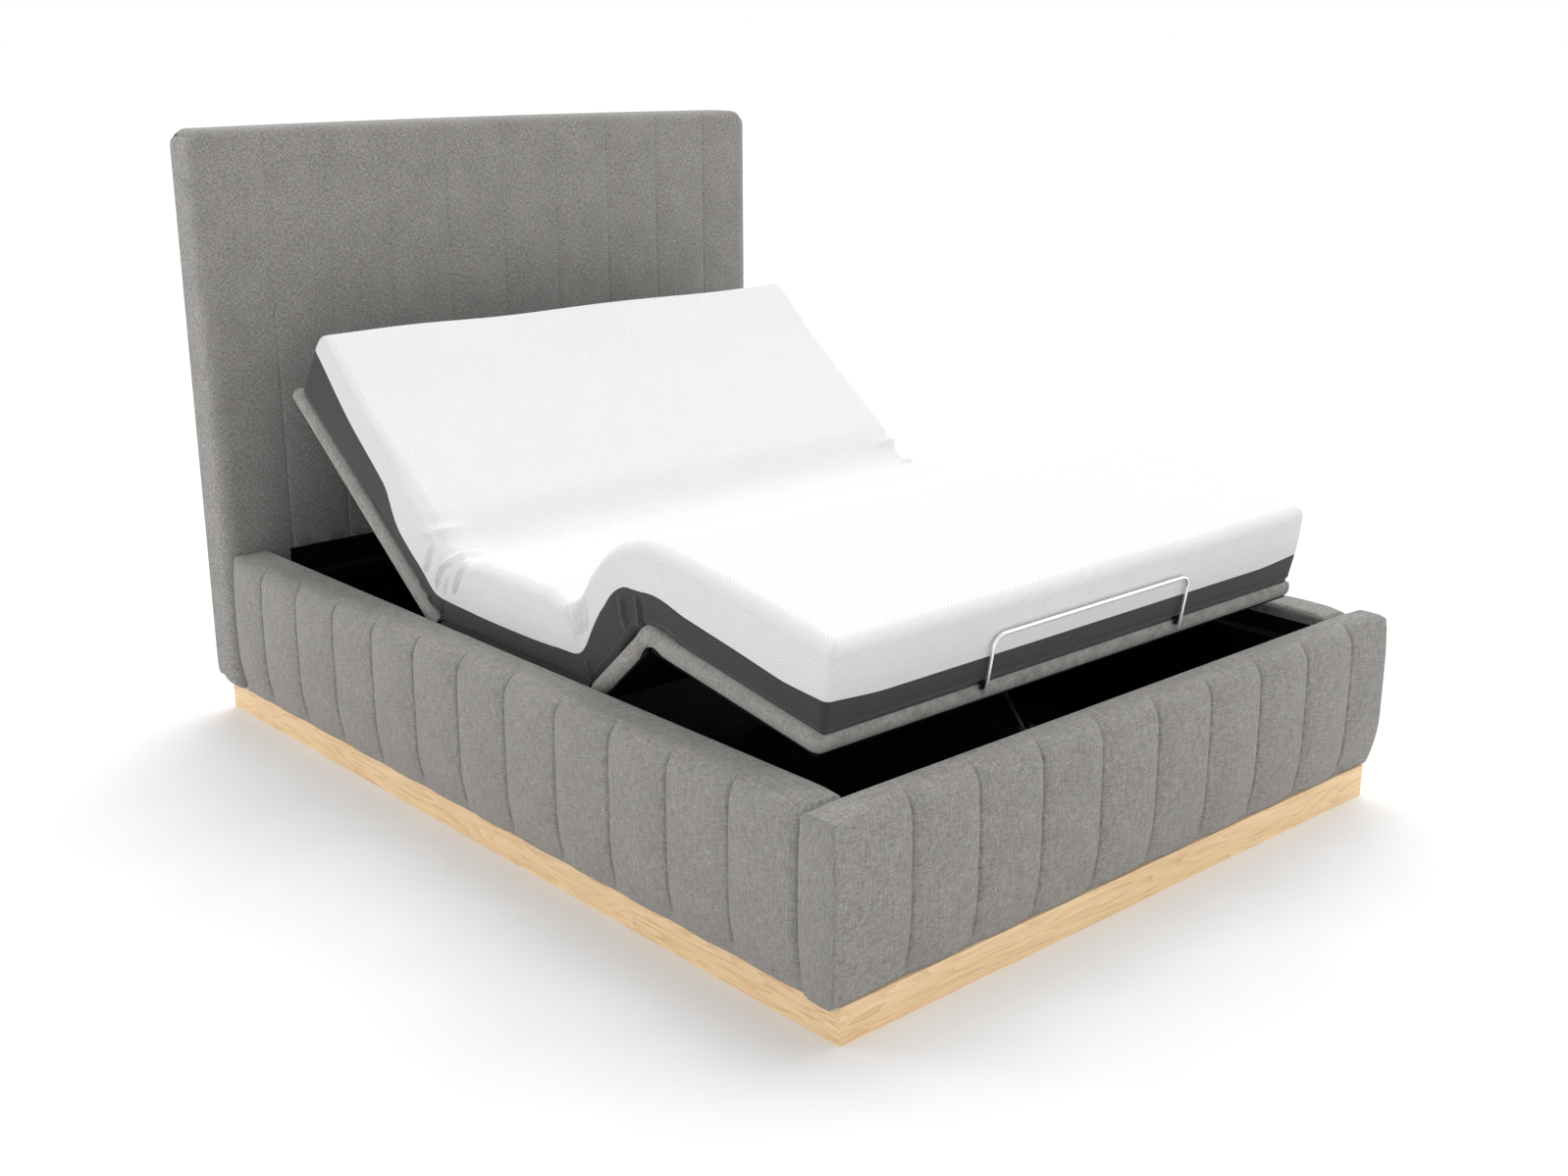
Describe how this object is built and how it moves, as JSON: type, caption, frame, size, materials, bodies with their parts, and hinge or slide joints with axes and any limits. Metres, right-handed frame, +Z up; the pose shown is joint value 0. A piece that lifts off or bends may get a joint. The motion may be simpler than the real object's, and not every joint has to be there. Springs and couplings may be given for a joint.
{
  "type": "adjustable bed",
  "caption": "Adjustable double bed: channelled upholstered surround and headboard on an oak plinth, hinged folding deck with lift drives, bent mattress and a foot retainer bar.",
  "frame": {"origin": "middle of the bed's footprint on the floor", "axes": "+Z up, +Y towards the headboard, +X to the sleeper's left when lying on the back"},
  "size_m": [1.668, 2.234, 1.416],
  "materials": {
    "fabric_grey": "matte",
    "fabric_black": "matte",
    "oak": "satin",
    "pine": "matte",
    "board_black": "matte",
    "mattress_fabric": "matte",
    "steel_black": "satin",
    "steel_zinc": "satin",
    "plastic_black": "matte",
    "plastic_grey": "matte",
    "wire_white": "gloss"
  },
  "bodies": {
    "bed_surround": {"plinth_end_boards": "oak", "plinth_side_boards": "oak", "base_panel": "board_black", "side_rail_frames": "board_black", "foot_rail_frame": "board_black", "left_rail_pad": "fabric_grey", "right_rail_pad": "fabric_grey", "foot_rail_pad": "fabric_grey", "headboard_frame": "pine", "headboard_pad": "fabric_grey", "headboard_lining": "fabric_black", "headboard_back_cover": "fabric_grey", "corner_brackets": "steel_black", "corner_bolts": "steel_zinc", "frame_support_angles": "steel_black", "frame_side_tubes": "steel_black", "frame_cross_tubes": "steel_black", "seat_panel": "board_black", "seat_battens": "board_black", "seat_pad": "fabric_black", "mattress_seat": "mattress_fabric", "seat_hinge_leaves": "steel_zinc", "seat_hinge_pins": "steel_zinc", "back_drive_housing": "plastic_grey", "thigh_drive_housing": "plastic_grey", "drive_motors": "steel_black", "drive_hangers": "steel_black", "control_box": "plastic_black", "prop_track": "steel_black", "prop_track_hangers": "steel_black"},
    "back_section": {"back_panel": "board_black", "back_battens": "board_black", "back_pad": "fabric_grey", "mattress_back": "mattress_fabric", "back_hinge_leaves": "steel_zinc", "back_lever": "steel_black", "back_lever_pin": "steel_zinc"},
    "thigh_section": {"thigh_panel": "board_black", "thigh_battens": "board_black", "thigh_pad": "fabric_grey", "mattress_thigh": "mattress_fabric", "thigh_hinge_leaves": "steel_zinc", "knee_hinge_pins": "steel_zinc", "thigh_lever": "steel_black", "thigh_lever_pin": "steel_zinc"},
    "leg_section": {"leg_panel": "board_black", "leg_battens": "board_black", "leg_pad": "fabric_grey", "mattress_leg": "mattress_fabric", "leg_hinge_leaves": "steel_zinc", "retainer_bar": "wire_white", "retainer_brackets": "steel_black", "prop_bracket": "steel_black", "prop_pin": "steel_zinc"},
    "back_roller": {"back_lever_roller": "plastic_black"},
    "thigh_roller": {"thigh_lever_roller": "plastic_black"},
    "back_rod": {"back_push_rod": "steel_zinc"},
    "thigh_rod": {"thigh_push_rod": "steel_zinc"},
    "prop": {"prop_strut": "steel_black"},
    "prop_rollers": {"prop_wheels": "plastic_black"}
  },
  "joints": [
    {"name": "back_hinge", "type": "hinge", "parent": "bed_surround", "child": "back_section", "pos_m": [0, 0.2713, 0.3972], "axis": [1, 0, 0], "range_deg": [-37.2, 22.8]},
    {"name": "thigh_hinge", "type": "hinge", "parent": "bed_surround", "child": "thigh_section", "pos_m": [0, -0.2851, 0.3972], "axis": [-1, 0, 0], "range_deg": [-42.5, 2.5]},
    {"name": "knee_hinge", "type": "hinge", "parent": "thigh_section", "child": "leg_section", "pos_m": [0, -0.46212, 0.55941], "axis": [1, 0, 0], "range_deg": [-52.1, 3.16]},
    {"name": "prop_hinge", "type": "hinge", "parent": "leg_section", "child": "prop", "pos_m": [0, -0.63008, 0.4725], "axis": [1, 0, 0], "range_deg": [-26.07, 1.63]},
    {"name": "prop_wheel_spin", "type": "hinge", "parent": "prop", "child": "prop_rollers", "pos_m": [0, -0.7972, 0.27332], "axis": [1, 0, 0], "continuous": true},
    {"name": "back_rod_slide", "type": "slide", "parent": "bed_surround", "child": "back_rod", "axis": [0, 1, 0], "range_m": [-0.0692, 0.04249]},
    {"name": "thigh_rod_slide", "type": "slide", "parent": "bed_surround", "child": "thigh_rod", "axis": [0, -1, 0], "range_m": [-0.08024, 0.00491]},
    {"name": "back_roller_spin", "type": "hinge", "parent": "back_section", "child": "back_roller", "pos_m": [0.16, 0.28509, 0.28807], "axis": [1, 0, 0], "continuous": true},
    {"name": "thigh_roller_spin", "type": "hinge", "parent": "thigh_section", "child": "thigh_roller", "pos_m": [-0.16, -0.32272, 0.29383], "axis": [1, 0, 0], "continuous": true}
  ],
  "couplings": [
    {"joint": "knee_hinge", "follows": "thigh_hinge", "ratio": 1.2235},
    {"joint": "prop_hinge", "follows": "thigh_hinge", "ratio": 0.611},
    {"joint": "thigh_rod_slide", "follows": "thigh_hinge", "m_per_rad": 0.1079},
    {"joint": "back_rod_slide", "follows": "back_hinge", "m_per_rad": 0.10628}
  ]
}
